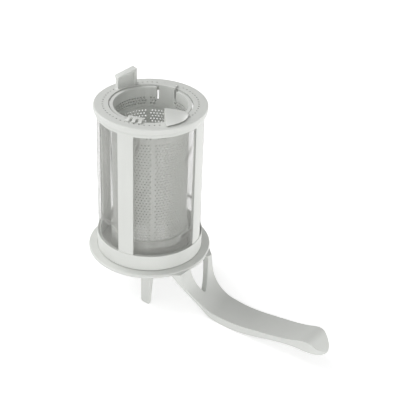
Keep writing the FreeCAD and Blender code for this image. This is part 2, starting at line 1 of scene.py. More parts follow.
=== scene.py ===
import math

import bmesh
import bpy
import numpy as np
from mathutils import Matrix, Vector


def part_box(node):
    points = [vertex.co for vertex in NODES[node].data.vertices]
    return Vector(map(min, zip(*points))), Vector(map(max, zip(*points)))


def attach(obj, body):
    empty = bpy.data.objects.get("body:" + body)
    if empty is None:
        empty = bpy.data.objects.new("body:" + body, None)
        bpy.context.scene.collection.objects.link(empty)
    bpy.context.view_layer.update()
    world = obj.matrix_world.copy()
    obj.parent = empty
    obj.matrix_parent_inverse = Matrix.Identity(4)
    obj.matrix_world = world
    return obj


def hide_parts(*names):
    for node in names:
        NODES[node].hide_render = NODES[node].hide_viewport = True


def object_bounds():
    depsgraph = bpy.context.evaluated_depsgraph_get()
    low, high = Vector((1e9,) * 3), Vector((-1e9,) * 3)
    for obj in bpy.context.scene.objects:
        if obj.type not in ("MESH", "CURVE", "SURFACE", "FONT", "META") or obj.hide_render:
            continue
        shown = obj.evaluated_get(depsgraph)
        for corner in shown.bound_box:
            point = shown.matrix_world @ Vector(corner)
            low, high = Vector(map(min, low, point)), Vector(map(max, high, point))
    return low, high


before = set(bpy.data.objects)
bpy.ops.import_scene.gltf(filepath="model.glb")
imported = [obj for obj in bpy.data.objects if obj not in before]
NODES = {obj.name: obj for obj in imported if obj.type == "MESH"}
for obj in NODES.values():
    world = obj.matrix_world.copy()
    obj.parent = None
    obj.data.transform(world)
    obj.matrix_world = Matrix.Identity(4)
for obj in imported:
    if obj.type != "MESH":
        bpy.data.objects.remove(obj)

# %% [markdown]
# A dishwasher filter stands upside down on a pale table, on the bend of its handle and two pegs.
# It has three mouldings: a coarse strainer, which is a perforated tube with a flange and a
# forked handle, a sleeve frame with four windows, and a fine mesh moulded into those windows.
# The frame holds all three as plain solids. The strainer's flange, pegs, handle and rim and the
# whole sleeve frame are copies of those, with softened edges. What is too fine for the solids,
# the perforated wall and the woven mesh, is drawn here. Then come the plastics, the light and
# the camera.

MM = 0.001
CAD_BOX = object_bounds()
print("frame:", sorted(NODES), "box in mm:", [[round(x / MM, 1) for x in c] for c in CAD_BOX])

# %% [markdown]
# Heights are counted from the flange's seat face, and azimuths from +X towards +Y. The wall with
# the holes is one millimetre thick, on the tube's inner radius, so that a straight core can
# leave it. The rim above it and the base below it are thicker outwards, up to TUBE_RADIUS. The
# holes lie in four fields, with a plain strip between two fields where the mould's slides part.
# Rows are staggered by half a pitch, so each hole sits over the gap of the row below, which
# leaves the most plastic between them.

# %% Sizes of the perforated wall
MOUTH_RADIUS = 26.1 * MM
WALL_RADIUS = 27.1 * MM
HOLE_DIAMETER = 1.4 * MM
ROW_PITCH = 2.215 * MM
COLUMN_PITCH = 4.95
QUARTER = COLUMN_PITCH / 4.0
HOLES_PER_FIELD = 17
FIELDS = 4
FIELD_ANGLE = 360.0 / FIELDS
FIELD_START = 5.7
PLAIN_STRIP = FIELD_ANGLE - HOLES_PER_FIELD * COLUMN_PITCH
LONG_ROWS = 36
LONG_TOP = 97.19 * MM
LONG_BOTTOM = LONG_TOP - LONG_ROWS * ROW_PITCH
COLLAR_TOP = 98.65 * MM
print("%d rows of holes, from %.1f to %.1f mm" % (LONG_ROWS, LONG_BOTTOM / MM, LONG_TOP / MM))

# %% [markdown]
# Every shape that is drawn here is an array of points and an array of faces. Points that two
# patches share are merged by rounding them to a thousandth of a millimetre, so a surface made
# of patches closes up. Edges sharper than 35 degrees stay crisp, and the rest is shaded smooth,
# as polished mould steel leaves it.

# %% Helpers that turn arrays into objects
MERGE = 0.001 * MM
CRISP_ANGLE = 35.0


def cylinder_points(azimuth, radius, height):
    """Points at (radius cos a, radius sin a, height), for azimuths a in degrees."""
    azimuth, radius, height = np.broadcast_arrays(azimuth, radius, height)
    angle = np.radians(azimuth)
    return np.stack([radius * np.cos(angle), radius * np.sin(angle), height], axis=-1)


def welded(points, faces):
    """Merge points that agree to a thousandth of a millimetre, and number the faces anew."""
    keys = np.round(points / MERGE).astype(np.int64)
    _, first, again = np.unique(keys, axis=0, return_index=True, return_inverse=True)
    return points[first], again.reshape(-1)[faces]


def finish_mesh(mesh):
    """Point the faces outwards and shade them smooth, with crisp edges past CRISP_ANGLE."""
    work = bmesh.new()
    work.from_mesh(mesh)
    bmesh.ops.remove_doubles(work, verts=work.verts, dist=2.0 * MERGE)
    bmesh.ops.recalc_face_normals(work, faces=work.faces)
    work.to_mesh(mesh)
    work.free()
    mesh.shade_smooth()
    mesh.set_sharp_from_angle(angle=math.radians(CRISP_ANGLE))
    return mesh


def new_object(name, mesh):
    """An object at the origin, with its place in its mesh."""
    made = bpy.data.objects.new(name, mesh)
    bpy.context.scene.collection.objects.link(made)
    return made


def surface(name, points, faces):
    """An object from an array of points and an array of four-sided faces."""
    mesh = bpy.data.meshes.new(name)
    mesh.from_pydata(points.tolist(), [], faces.tolist())
    return new_object(name, mesh)


def piece(obj, body, stands_for):
    """Fasten a finished piece to its CAD body and hide the node that it stands for."""
    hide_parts(stands_for)
    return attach(obj, body)


print("a point at azimuth 90, radius 1 and height 0:", cylinder_points(90.0, 1.0, 0.0).round(3))

# %% [markdown]
# One perforation is a tile: a rectangle of wall with a round hole in its middle. Its rim has
# twelve points, and so has the circle, so twelve four-sided faces join them. The same tile is
# laid on the outer and on the inner wall, and the hole's own wall joins the two circles. The
# tiles of one row stand half a tile to the side of those below, and since a tile has a point at
# each quarter of its length, the points of two rows still meet. A boolean cut for each hole
# would give the same wall, but slowly and with long thin faces.

# %% One tile and the places of the holes
TILE_ACROSS = np.array([-2, -1, 0, 1, 2, 2, 2, 1, 0, -1, -2, -2])
TILE_UP = np.array([-1, -1, -1, -1, -1, 0, 1, 1, 1, 1, 1, 0])
SIDES = len(TILE_ACROSS)


def tile_outline():
    """The tile's rim and circle as twelve (degrees, metres) offsets from the hole's centre."""
    across = TILE_ACROSS * QUARTER
    up = TILE_UP * ROW_PITCH / 2.0
    per_degree = 0.5 * (MOUTH_RADIUS + WALL_RADIUS) * math.pi / 180.0
    turn = np.arctan2(up, across * per_degree)
    circle_across = 0.5 * HOLE_DIAMETER * np.cos(turn) / per_degree
    circle_up = 0.5 * HOLE_DIAMETER * np.sin(turn)
    return across, up, circle_across, circle_up


def hole_places(bottom, rows):
    """Azimuths and heights of the holes of some rows. Odd rows lie half a pitch back."""
    row, field, hole = np.meshgrid(np.arange(rows), np.arange(FIELDS), np.arange(HOLES_PER_FIELD),
                                   indexing="ij")
    azimuth = FIELD_START + field * FIELD_ANGLE + (hole + 1.0 - 0.5 * (row % 2)) * COLUMN_PITCH
    return azimuth, bottom + (row + 0.5) * ROW_PITCH


print("a tile is %.2f degrees by %.2f mm" % (COLUMN_PITCH, ROW_PITCH / MM))

# %% The perforated fields


def tiles(bottom, rows):
    """All tiles of some rows: points on both walls, and faces for walls and holes."""
    across, up, circle_across, circle_up = tile_outline()
    azimuth, level = (place.reshape(-1, 1) for place in hole_places(bottom, rows))
    rings = []
    for radius in (WALL_RADIUS, MOUTH_RADIUS):
        rings.append(cylinder_points(azimuth + across, radius, level + up))
        rings.append(cylinder_points(azimuth + circle_across, radius, level + circle_up))
    points = np.stack(rings, axis=1).reshape(-1, 3)
    outline = np.arange(SIDES)
    after = (outline + 1) % SIDES
    circle, inner_outline, inner_circle = (outline + step * SIDES for step in (1, 2, 3))
    on_circle, on_inner_outline, on_inner_circle = (after + step * SIDES for step in (1, 2, 3))
    outer = np.stack([outline, after, on_circle, circle], axis=1)
    inner = np.stack([inner_outline, inner_circle, on_inner_circle, on_inner_outline], axis=1)
    hole_wall = np.stack([circle, on_circle, on_inner_circle, inner_circle], axis=1)
    one = np.concatenate([outer, inner, hole_wall])
    shift = len(rings) * SIDES * np.arange(azimuth.size).reshape(-1, 1, 1)
    return points, (one + shift).reshape(-1, 4)


print("a tile has %d faces" % (len(tiles(0.0, 1)[1]) // (FIELDS * HOLES_PER_FIELD)))

# %% The plain strips, the cut edge and the plain collar
STRIP_POINTS = 4
STRIP_LEVELS = np.array([0.0, 0.5, 1.0])


def strips(bottom, rows):
    """The plain wall between two fields: three faces wide and two high in each row."""
    odd = np.array([-PLAIN_STRIP, QUARTER - PLAIN_STRIP, 2.0 * QUARTER - PLAIN_STRIP, 0.0])
    even = np.array([2.0 * QUARTER - PLAIN_STRIP, 0.0, QUARTER, 2.0 * QUARTER])
    row, field = np.meshgrid(np.arange(rows), np.arange(FIELDS), indexing="ij")
    azimuth = (FIELD_START + field.reshape(-1, 1, 1) * FIELD_ANGLE
               + np.stack([even, odd])[row.reshape(-1) % 2][:, None])
    level = bottom + (row.reshape(-1, 1, 1) + STRIP_LEVELS[None, :, None]) * ROW_PITCH
    walls = [cylinder_points(azimuth, radius, level) for radius in (WALL_RADIUS, MOUTH_RADIUS)]
    points = np.concatenate([wall.reshape(-1, 3) for wall in walls])
    corner = (np.arange(2)[:, None] * STRIP_POINTS + np.arange(STRIP_POINTS - 1)).reshape(-1)
    above = corner + STRIP_POINTS
    one = np.stack([corner, corner + 1, above + 1, above], axis=1)
    shift = STRIP_POINTS * STRIP_LEVELS.size * np.arange(len(walls) * row.size).reshape(-1, 1, 1)
    return points, (one + shift).reshape(-1, 4)


def end_ring(level):
    """The cut edge of the wall at one height, on the points of the tiles' rims."""
    step = np.arange(4 * HOLES_PER_FIELD + 3) * QUARTER
    azimuth = (FIELD_START + np.arange(FIELDS)[:, None] * FIELD_ANGLE + step[None, :]).reshape(-1)
    count = azimuth.size
    points = np.concatenate([cylinder_points(azimuth, WALL_RADIUS, level),
                             cylinder_points(azimuth, MOUTH_RADIUS, level)])
    side = np.arange(count)
    after = (side + 1) % count
    return points, np.stack([side, after, after + count, side + count], axis=1)


def collar(low, high):
    """The plain wall above the last row: both its walls and its cut edge."""
    low_points, edge = end_ring(low)
    high_points, top_edge = end_ring(high)
    count = len(edge)
    side, after = edge[:, 0], edge[:, 1]
    outer = np.stack([side, after, after + 2 * count, side + 2 * count], axis=1)
    inner = np.stack([side + count, side + 3 * count, after + 3 * count, after + count], axis=1)
    return (np.concatenate([low_points, high_points]),
            np.concatenate([outer, inner, top_edge + 2 * count]))


print("plain strip: %.2f degrees" % PLAIN_STRIP)

# %% The whole perforated wall


def perforated_wall(name, bottom, rows, top):
    """A closed ring of wall, with some rows of holes and a plain collar above them."""
    patches = [tiles(bottom, rows), strips(bottom, rows), end_ring(bottom),
               collar(bottom + rows * ROW_PITCH, top)]
    points, faces, count = [], [], 0
    for patch_points, patch_faces in patches:
        points.append(patch_points)
        faces.append(patch_faces + count)
        count += len(patch_points)
    points, faces = welded(np.concatenate(points), np.concatenate(faces))
    made = surface(name, points, faces)
    finish_mesh(made.data)
    return made


strainer_tube = perforated_wall("strainer_tube", LONG_BOTTOM, LONG_ROWS, COLLAR_TOP)
print("strainer_tube: %d holes, %d faces" % (LONG_ROWS * FIELDS * HOLES_PER_FIELD,
                                            len(strainer_tube.data.polygons)))

# %% [markdown]
# Below the perforations the strainer is the frame's own shape: the flange, two pegs and the
# forked handle. Above them it is the rim with its slits and tongues. Both are taken from a copy
# of the CAD node, cut level where the perforated wall starts and ends, and closed there. A copy
# keeps the sizes that the other checks have passed, which modelling them again would not.

# %% A level slice of a CAD node


def cad_slice(node, name, low=None, high=None):
    """A copy of a CAD node between two heights, closed where it was cut."""
    mesh = NODES[node].data.copy()
    mesh.materials.clear()
    work = bmesh.new()
    work.from_mesh(mesh)
    bmesh.ops.remove_doubles(work, verts=work.verts, dist=MERGE)
    for level, direction in ((low, -1.0), (high, 1.0)):
        if level is None:
            continue
        everything = list(work.verts) + list(work.edges) + list(work.faces)
        cut = bmesh.ops.bisect_plane(work, geom=everything, plane_co=(0, 0, level),
                                     plane_no=(0, 0, direction), clear_outer=True)
        rim = [edge for edge in cut["geom_cut"] if isinstance(edge, bmesh.types.BMEdge)]
        bmesh.ops.bridge_loops(work, edges=rim)
    work.to_mesh(mesh)
    work.free()
    return new_object(name, finish_mesh(mesh))


strainer_base = cad_slice("coarse_strainer", "strainer_base", high=LONG_BOTTOM)
strainer_rim = cad_slice("coarse_strainer", "strainer_rim", low=COLLAR_TOP)
sleeve_shell = cad_slice("sleeve_frame", "sleeve_shell")
print("faces:", [(part.name, len(part.data.polygons)) for part in (strainer_base, strainer_rim,
                                                                   sleeve_shell)])

# %% [markdown]
# A moulding has no knife edges: its corners are rounded by a few tenths of a millimetre, and
# that is what catches the light along the flange, the struts and the tongues. A Bevel modifier
# rounds only the edges that have a weight, and each edge's weight is worked out from the room
# beside it, because a round that is wider than its face would fold over. The ring's fine holes
# and the tube's rim have no such room, so they stay crisp. A weighted normal keeps the flat
# faces flat beside the rounds.

# %% Softened edges
SOFT_ANGLE = 30.0
SOFT_EDGE = 0.35 * MM
SOFT_STEPS = 3
FACE_ROOM = 3.0
END_ROOM = 1.2
FLAT_WEIGHT = 80
TUBE_RADIUS = 28.6 * MM
TUBE_RIM = 114.5 * MM
RIM_REACH = 0.1 * MM
RING_LEVEL = 111.0 * MM
RING_HOLE = 29.8 * MM
VENT_CIRCLE = 33.4 * MM
VENT_ACROSS = 1.1 * MM


def at_ring_holes(point):
    """Whether a point lies on one of the ring's fine square holes, or on the hole for the tube."""
    from_axis = point.xy.length
    at_vent = abs(from_axis - VENT_CIRCLE) < VENT_ACROSS
    return point.z > RING_LEVEL and (at_vent or from_axis < RING_HOLE)


def at_tube_rim(point):
    """Whether a point lies on the outer edge of the tube's level rim."""
    at_edge = abs(point.xy.length - TUBE_RADIUS) < RIM_REACH
    return at_edge and abs(point.z - TUBE_RIM) < RIM_REACH


def softened(obj, width, crisp=lambda point: False):
    """Round the moulding's edges past SOFT_ANGLE by a width.

    An edge gets the full width where both its faces are FACE_ROOM widths across and the flat
    edges that meet its ends are END_ROOM widths long, and a smaller share of it elsewhere.
    Edges whose middle is crisp stay so.
    """
    work = bmesh.new()
    work.from_mesh(obj.data)
    share = work.edges.layers.float.new("bevel_weight_edge")
    sharp = {edge for edge in work.edges if len(edge.link_faces) == 2
             and edge.calc_face_angle() > math.radians(SOFT_ANGLE)}
    for edge in work.edges:
        stays = edge in sharp and crisp((edge.verts[0].co + edge.verts[1].co) / 2.0)
        edge.smooth = not stays
        if edge in sharp and not stays:
            across = min(face.calc_area() for face in edge.link_faces) / edge.calc_length()
            flat = [other.calc_length() for corner in edge.verts for other in corner.link_edges
                    if other not in sharp]
            end = min(flat, default=width)
            edge[share] = min(1.0, across / (FACE_ROOM * width), end / (END_ROOM * width))
    rounded = sum(edge[share] > 0.0 for edge in work.edges)
    work.to_mesh(obj.data)
    work.free()
    bevel = obj.modifiers.new("soft_edges", "BEVEL")
    bevel.width = width
    bevel.segments = SOFT_STEPS
    bevel.limit_method = "WEIGHT"
    bevel.use_clamp_overlap = False
    even = obj.modifiers.new("even_shading", "WEIGHTED_NORMAL")
    even.weight = FLAT_WEIGHT
    even.keep_sharp = True
    print("%s: %d edges rounded by %.2f mm" % (obj.name, rounded, width / MM))


softened(strainer_base, SOFT_EDGE)
softened(strainer_rim, SOFT_EDGE, crisp=at_tube_rim)
softened(sleeve_shell, SOFT_EDGE, crisp=at_ring_holes)

# %% [markdown]
# The rim has three short rows of the same holes, and they leave out its two snap tongues. The
# rim is too irregular for tiles, so here a boolean takes one bar for each hole from it.

# %% The short rows in the rim
SHORT_ROWS = 3
SHORT_BOTTOM = 101.0 * MM
BAR_OVERCUT = 1.0 * MM
TONGUES = (
    # middle azimuth, half width in degrees
    (64.0, 17.0),
    (-111.2, 15.5),
)


def hole_bars(name, bottom, rows, plain):
    """Twelve-sided bars through the wall, one for each hole of some rows.

    plain lists (middle, half) azimuths of stretches that have no holes.
    """
    azimuth, height = hole_places(bottom, rows)
    open_wall = np.ones(azimuth.shape, bool)
    for middle, half in plain:
        open_wall &= np.abs(np.mod(azimuth - middle + 180.0, 360.0) - 180.0) > half
    turn = np.radians(azimuth[open_wall].reshape(-1, 1, 1))
    level = height[open_wall].reshape(-1, 1, 1)
    corner = np.radians(np.arange(SIDES) * 360.0 / SIDES).reshape(1, 1, -1)
    radius = np.array([MOUTH_RADIUS - BAR_OVERCUT, TUBE_RADIUS + BAR_OVERCUT]).reshape(1, -1, 1)
    side = 0.5 * HOLE_DIAMETER * np.cos(corner)
    points = np.stack(np.broadcast_arrays(
        radius * np.cos(turn) - side * np.sin(turn),
        radius * np.sin(turn) + side * np.cos(turn),
        level + 0.5 * HOLE_DIAMETER * np.sin(corner)), axis=-1).reshape(-1, 3)
    ring = np.arange(SIDES)
    after = (ring + 1) % SIDES
    sides = np.stack([ring, after, after + SIDES, ring + SIDES], axis=1)
    shifts = 2 * SIDES * np.arange(turn.size)
    faces = [tuple(face) for face in (sides + shifts.reshape(-1, 1, 1)).reshape(-1, 4).tolist()]
    for shift in shifts.tolist():
        faces.append(tuple(range(shift + SIDES - 1, shift - 1, -1)))
        faces.append(tuple(range(shift + SIDES, shift + 2 * SIDES)))
    mesh = bpy.data.meshes.new(name)
    mesh.from_pydata(points.tolist(), [], faces)
    print("%s: %d" % (name, turn.size))
    return new_object(name, finish_mesh(mesh))


def carved(target, tool):
    """Take a tool from a target, with the target's modifiers applied. The tool is used up."""
    step = target.modifiers.new("carve", "BOOLEAN")
    step.operation = "DIFFERENCE"
    step.solver = "EXACT"
    step.object = tool
    bpy.context.view_layer.update()
    shaped = target.evaluated_get(bpy.context.evaluated_depsgraph_get())
    mesh = bpy.data.meshes.new_from_object(shaped)
    target.modifiers.clear()
    target.data = mesh
    bpy.data.objects.remove(tool)
    finish_mesh(target.data)


carved(strainer_rim, hole_bars("rim_holes", SHORT_BOTTOM, SHORT_ROWS, TONGUES))

# %% The mouldings on their bodies
STRAINER_PARTS = (strainer_tube, strainer_base, strainer_rim)
for part in STRAINER_PARTS:
    piece(part, "strainer", "coarse_strainer")
piece(sleeve_shell, "sleeve", "sleeve_frame")
print("strainer:", [part.name for part in STRAINER_PARTS], "sleeve:", sleeve_shell.name)

# %% [markdown]
# The mesh is one strip of fine woven cloth, laid round in the mould and held at its ends, its
# edges and behind the four struts. Between the struts it is a little slack, so it falls into
# soft upright folds that die away towards the plastic, and a few creases where it was pinched.
# A cloth simulation could find such folds too, but formulas and a short list of creases put
# each one where it is seen.

# %% The form of the woven mesh
MESH_RADIUS = 37.6 * MM
MESH_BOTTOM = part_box("mesh_sleeve")[0][2]
MESH_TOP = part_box("mesh_sleeve")[1][2]
STRUT_AZIMUTH = -26.8
STRUT_ANGLE = 17.8
WINDOW_ANGLE = 90.0
SLACK_RISE = 0.7
END_RISE = 2.5
FOLD_DEPTH = 0.75 * MM
FOLDS = (
    # waves across the window, waves up it, strength, shift from one window to the next
    (2.3, 0.10, 1.0, 1.7),
    (4.1, -0.15, 0.6, 2.9),
    (0.8, 1.20, 0.5, 0.8),
)
CREASE_WIDTH = 1.2 * MM
DEEPEST_CREASE = 1.6 * MM
CREASES = (
    # azimuth, height, half length, lean in degrees, depth
    (-45.0, 24.0 * MM, 6.5 * MM, 14.0, 1.6 * MM),
    (-72.0, 17.2 * MM, 17.0 * MM, -1.0, 0.6 * MM),
    (-104.0, 100.0 * MM, 5.0 * MM, 70.0, 0.8 * MM),
    (-46.0, 89.0 * MM, 6.0 * MM, 60.0, 0.5 * MM),
    (-142.0, 78.0 * MM, 26.0 * MM, 89.0, 0.3 * MM),
    (-135.0, 42.0 * MM, 5.0 * MM, 80.0, 0.6 * MM),
    (-146.0, 31.5 * MM, 10.0 * MM, 8.0, 0.8 * MM),
    (140.0, 60.0 * MM, 25.0 * MM, 86.0, 0.8 * MM),
    (95.0, 34.0 * MM, 12.0 * MM, 20.0, 0.9 * MM),
    (10.0, 70.0 * MM, 22.0 * MM, 94.0, 0.8 * MM),
    (35.0, 26.0 * MM, 9.0 * MM, -15.0, 0.9 * MM),
)


def mesh_form(azimuth, height):
    """The cloth's radius and how far it is pinched, from 0 to 1.

    r(a, h) = R + d s(a) e(h) f(a, h) / 2 - c(a, h): slack s, ends e, folds f and creases c.

    s is a power of the sine of the way across the window, and 0 behind a strut. e rises from 0
    at the strip's ends. f sums the waves of FOLDS, with a different set in each window. c is a
    bell-shaped groove about a short leaning line, one for each row of CREASES.
    """
    past_strut = azimuth - STRUT_AZIMUTH - 0.5 * STRUT_ANGLE
    window = np.floor(np.mod(past_strut, 360.0) / WINDOW_ANGLE)
    way = np.clip(np.mod(past_strut, WINDOW_ANGLE) / (WINDOW_ANGLE - STRUT_ANGLE), 0.0, 1.0)
    slack = np.sin(np.pi * way) ** SLACK_RISE
    share = (height - MESH_BOTTOM) / (MESH_TOP - MESH_BOTTOM)
    ends = np.clip(np.sin(np.pi * share) * END_RISE, 0.0, 1.0)
    folds = sum(strength * np.sin(2.0 * np.pi * (waves * way + lean * share) + shift * window)
                for waves, lean, strength, shift in FOLDS)
    radius = MESH_RADIUS + 0.5 * FOLD_DEPTH * slack * ends * folds
    pinched = np.zeros(np.broadcast(azimuth, height).shape)
    for middle, level, long, lean, depth in CREASES:
        across = np.radians(np.mod(azimuth - middle + 180.0, 360.0) - 180.0) * MESH_RADIUS
        up = height - level
        turn = math.radians(lean)
        along = (across * math.cos(turn) + up * math.sin(turn)) / long
        beside = (up * math.cos(turn) - across * math.sin(turn)) / CREASE_WIDTH
        groove = slack ** 0.5 * np.exp(-along ** 4 - beside ** 2)
        radius = radius - depth * groove
        pinched = pinched + groove * depth / DEEPEST_CREASE
    return radius, np.clip(pinched, 0.0, 1.0)


print("the mesh spans %.1f to %.1f mm" % (MESH_BOTTOM / MM, MESH_TOP / MM))

# %% [markdown]
# The strip is drawn as its middle surface, and a Solidify modifier gives it two sides. Seen
# straight on, the openings of both sides line up. Seen aslant, the threads of one cover the
# openings of the other, so the cloth looks denser towards the filter's sides, as it does. Its
# UV map is the strip laid flat, in metres, and a point attribute says where it is pinched. The
# material needs both.

# %% The woven mesh
MESH_AROUND = 480
MESH_UP = 72
CLOTH_THICKNESS = 0.14 * MM
STRIP_MAP = "strip"
CREASE_MASK = "pinched"
FLAT_STRIP = (2.0 * math.pi * MESH_RADIUS, MESH_TOP - MESH_BOTTOM)


def woven_mesh():
    """The strip as one closed round of four-sided faces, with its length and width as UV."""
    azimuth = np.linspace(0.0, 360.0, MESH_AROUND + 1)[:-1]
    height = np.linspace(MESH_BOTTOM, MESH_TOP, MESH_UP + 1)
    grid_azimuth, grid_height = np.meshgrid(azimuth, height)
    radius, pinched = mesh_form(grid_azimuth, grid_height)
    points = cylinder_points(grid_azimuth, radius, grid_height)
    row, column = np.meshgrid(np.arange(MESH_UP), np.arange(MESH_AROUND), indexing="ij")
    after = (column + 1) % MESH_AROUND
    below, above = row * MESH_AROUND, (row + 1) * MESH_AROUND
    faces = np.stack([below + column, below + after, above + after, above + column], axis=-1)
    made = surface("filter_mesh", points.reshape(-1, 3), faces.reshape(-1, 4))
    made.data.shade_smooth()
    around = np.stack([column, column + 1, column + 1, column], axis=-1).reshape(-1)
    upwards = np.stack([row, row, row + 1, row + 1], axis=-1).reshape(-1)
    unrolled = np.column_stack([around * FLAT_STRIP[0] / MESH_AROUND,
                                upwards * FLAT_STRIP[1] / MESH_UP])
    made.data.uv_layers.new(name=STRIP_MAP).data.foreach_set("uv", unrolled.reshape(-1))
    in_crease = made.data.attributes.new(CREASE_MASK, "FLOAT", "POINT")
    in_crease.data.foreach_set("value", pinched.reshape(-1))
    both_sides = made.modifiers.new("both_sides", "SOLIDIFY")
    both_sides.thickness = CLOTH_THICKNESS
    both_sides.offset = 0.0
    return made


filter_mesh = woven_mesh()
piece(filter_mesh, "sleeve", "mesh_sleeve")
print("filter_mesh: strip %.0f by %.0f mm" % (FLAT_STRIP[0] / MM, FLAT_STRIP[1] / MM))

# %% [markdown]
# The mouldings are satin polypropylene, light grey with a trace of green. Such a surface is even
# in colour. What shows is a faint cloud of flow marks, drawn out upwards as the melt ran, and
# the very fine grain of a spark-eroded mould. Both mouldings need it, so it is one node group
# that puts out a colour, a roughness and a height. A painted texture could do the same, but
# this one follows the solid wherever it is cut and stays sharp close up.

# %% Node helpers


def new_tree(name, kind="MATERIAL"):
    """An empty material or node group, and its node tree."""
    if kind == "GROUP":
        tree = bpy.data.node_groups.new(name, "ShaderNodeTree")
        return tree, tree
    material = bpy.data.materials.new(name)
    material.use_nodes = True
    material.node_tree.nodes.clear()
    return material, material.node_tree


def add(tree, kind, **values):
    """A node with some of its inputs set by name, where _ stands for a space."""
    node = tree.nodes.new(kind)
    for name, value in values.items():
        node.inputs[name.replace("_", " ")].default_value = value
    return node


def math_node(tree, operation, first, second=None):
    """A sum, product or function of one or two sockets or numbers. Gives its result's socket."""
    node = tree.nodes.new("ShaderNodeMath")
    node.operation = operation
    for place, value in enumerate((first, second)):
        if isinstance(value, bpy.types.NodeSocket):
            tree.links.new(value, node.inputs[place])
        elif value is not None:
            node.inputs[place].default_value = value
    return node.outputs[0]


def spread(tree, value, low, high):
    """A value from 0 to 1 spread over low to high."""
    node = add(tree, "ShaderNodeMapRange", To_Min=low, To_Max=high)
    tree.links.new(value, node.inputs["Value"])
    return node.outputs["Result"]


def tinted(tree, factor, dark, light):
    """A colour between two, by a factor. Each is a socket or three numbers."""
    node = tree.nodes.new("ShaderNodeMix")
    node.data_type = "RGBA"
    tree.links.new(factor, node.inputs["Factor"])
    for name, colour in (("A", dark), ("B", light)):
        if isinstance(colour, bpy.types.NodeSocket):
            tree.links.new(colour, node.inputs[name])
        else:
            node.inputs[name].default_value = (*colour, 1.0)
    return node.outputs["Result"]


def group_sockets(tree, inputs, outputs):
    """Give a node group its sockets: (name, kind) pairs. Gives its input and output nodes."""
    for direction, sockets in (("INPUT", inputs), ("OUTPUT", outputs)):
        for name, kind in sockets:
            tree.interface.new_socket(name, in_out=direction, socket_type="NodeSocket" + kind)
    return tree.nodes.new("NodeGroupInput"), tree.nodes.new("NodeGroupOutput")


POLYMER_IOR = 1.49
print("index of refraction of the plastics: %.2f" % POLYMER_IOR)

# %% The moulded finish
DRAWN_OUT = (1.0, 1.0, 0.35)
SHEEN = (0.36, 0.46)


def moulded_finish():
    """Flow marks in the colour and the sheen, and mould grain as a height, on Object coordinates."""
    group, tree = new_tree("moulded_finish", "GROUP")
    given, out = group_sockets(tree, [("Vector", "Vector"), ("Marked", "Color"), ("Clear", "Color")],
                               [("Color", "Color"), ("Roughness", "Float"), ("Height", "Float")])
    drawn_out = add(tree, "ShaderNodeMapping", Scale=DRAWN_OUT)
    flow = add(tree, "ShaderNodeTexNoise", Scale=55.0, Detail=3.0, Distortion=0.6)
    grain = add(tree, "ShaderNodeTexNoise", Scale=2600.0, Detail=2.0)
    tree.links.new(given.outputs["Vector"], drawn_out.inputs["Vector"])
    tree.links.new(drawn_out.outputs["Vector"], flow.inputs["Vector"])
    tree.links.new(given.outputs["Vector"], grain.inputs["Vector"])
    colour = tinted(tree, flow.outputs["Fac"], given.outputs["Marked"], given.outputs["Clear"])
    tree.links.new(colour, out.inputs["Color"])
    tree.links.new(spread(tree, flow.outputs["Fac"], *SHEEN), out.inputs["Roughness"])
    tree.links.new(grain.outputs["Fac"], out.inputs["Height"])
    return group


MOULDED_FINISH = moulded_finish()
print("moulded finish:", len(MOULDED_FINISH.nodes), "nodes")

# %% The plastics of the two mouldings
PLASTIC_CLEAR = (0.700, 0.712, 0.685)
PLASTIC_MARKED = (0.655, 0.668, 0.640)
GRAIN_DEPTH = 0.03 * MM


def satin_plastic(name, clear, marked):
    """Satin moulded plastic: its clear colour, and the slightly duller one of its flow marks."""
    material, tree = new_tree(name)
    place = tree.nodes.new("ShaderNodeTexCoord")
    finish = tree.nodes.new("ShaderNodeGroup")
    finish.node_tree = MOULDED_FINISH
    finish.inputs["Clear"].default_value = (*clear, 1.0)
    finish.inputs["Marked"].default_value = (*marked, 1.0)
    bump = add(tree, "ShaderNodeBump", Strength=0.10, Distance=GRAIN_DEPTH)
    shader = add(tree, "ShaderNodeBsdfPrincipled", IOR=POLYMER_IOR)
    out = tree.nodes.new("ShaderNodeOutputMaterial")
    tree.links.new(place.outputs["Object"], finish.inputs["Vector"])
    tree.links.new(finish.outputs["Color"], shader.inputs["Base Color"])
    tree.links.new(finish.outputs["Roughness"], shader.inputs["Roughness"])
    tree.links.new(finish.outputs["Height"], bump.inputs["Height"])
    tree.links.new(bump.outputs["Normal"], shader.inputs["Normal"])
    tree.links.new(shader.outputs["BSDF"], out.inputs["Surface"])
    return material


strainer_plastic = satin_plastic("strainer_polypropylene", PLASTIC_CLEAR, PLASTIC_MARKED)
sleeve_plastic = satin_plastic("sleeve_polypropylene", PLASTIC_CLEAR, PLASTIC_MARKED)
for part in STRAINER_PARTS:
    part.data.materials.append(strainer_plastic)
sleeve_shell.data.materials.append(sleeve_plastic)
print("plastics:", strainer_plastic.name, sleeve_plastic.name)

# %% [markdown]
# The mesh is a plain weave of clear grey thread, four threads to the millimetre. Its threads lie
# along the strip and across it, so the pattern follows the strip's own UV map. A thread is drawn
# by a sine: s = sin(pi u / p) is 1 or -1 on the threads that run one way, and t = sin(pi v / p)
# on the others. Where both are small there is an opening, and the sign of s t says which thread
# lies on top. The openings are see-through by Alpha, so the perforated tube shows behind the
# cloth, and the threads let a little light through. Threads modelled one by one would be a
# million faces for the same look.

# %% The plain weave
THREAD_PITCH = 0.25 * MM
OPENING_LIMIT = 0.945
THREAD_EDGE = 14.0
UNDER_HEIGHT = 0.5
OVER_HEIGHT = 1.0


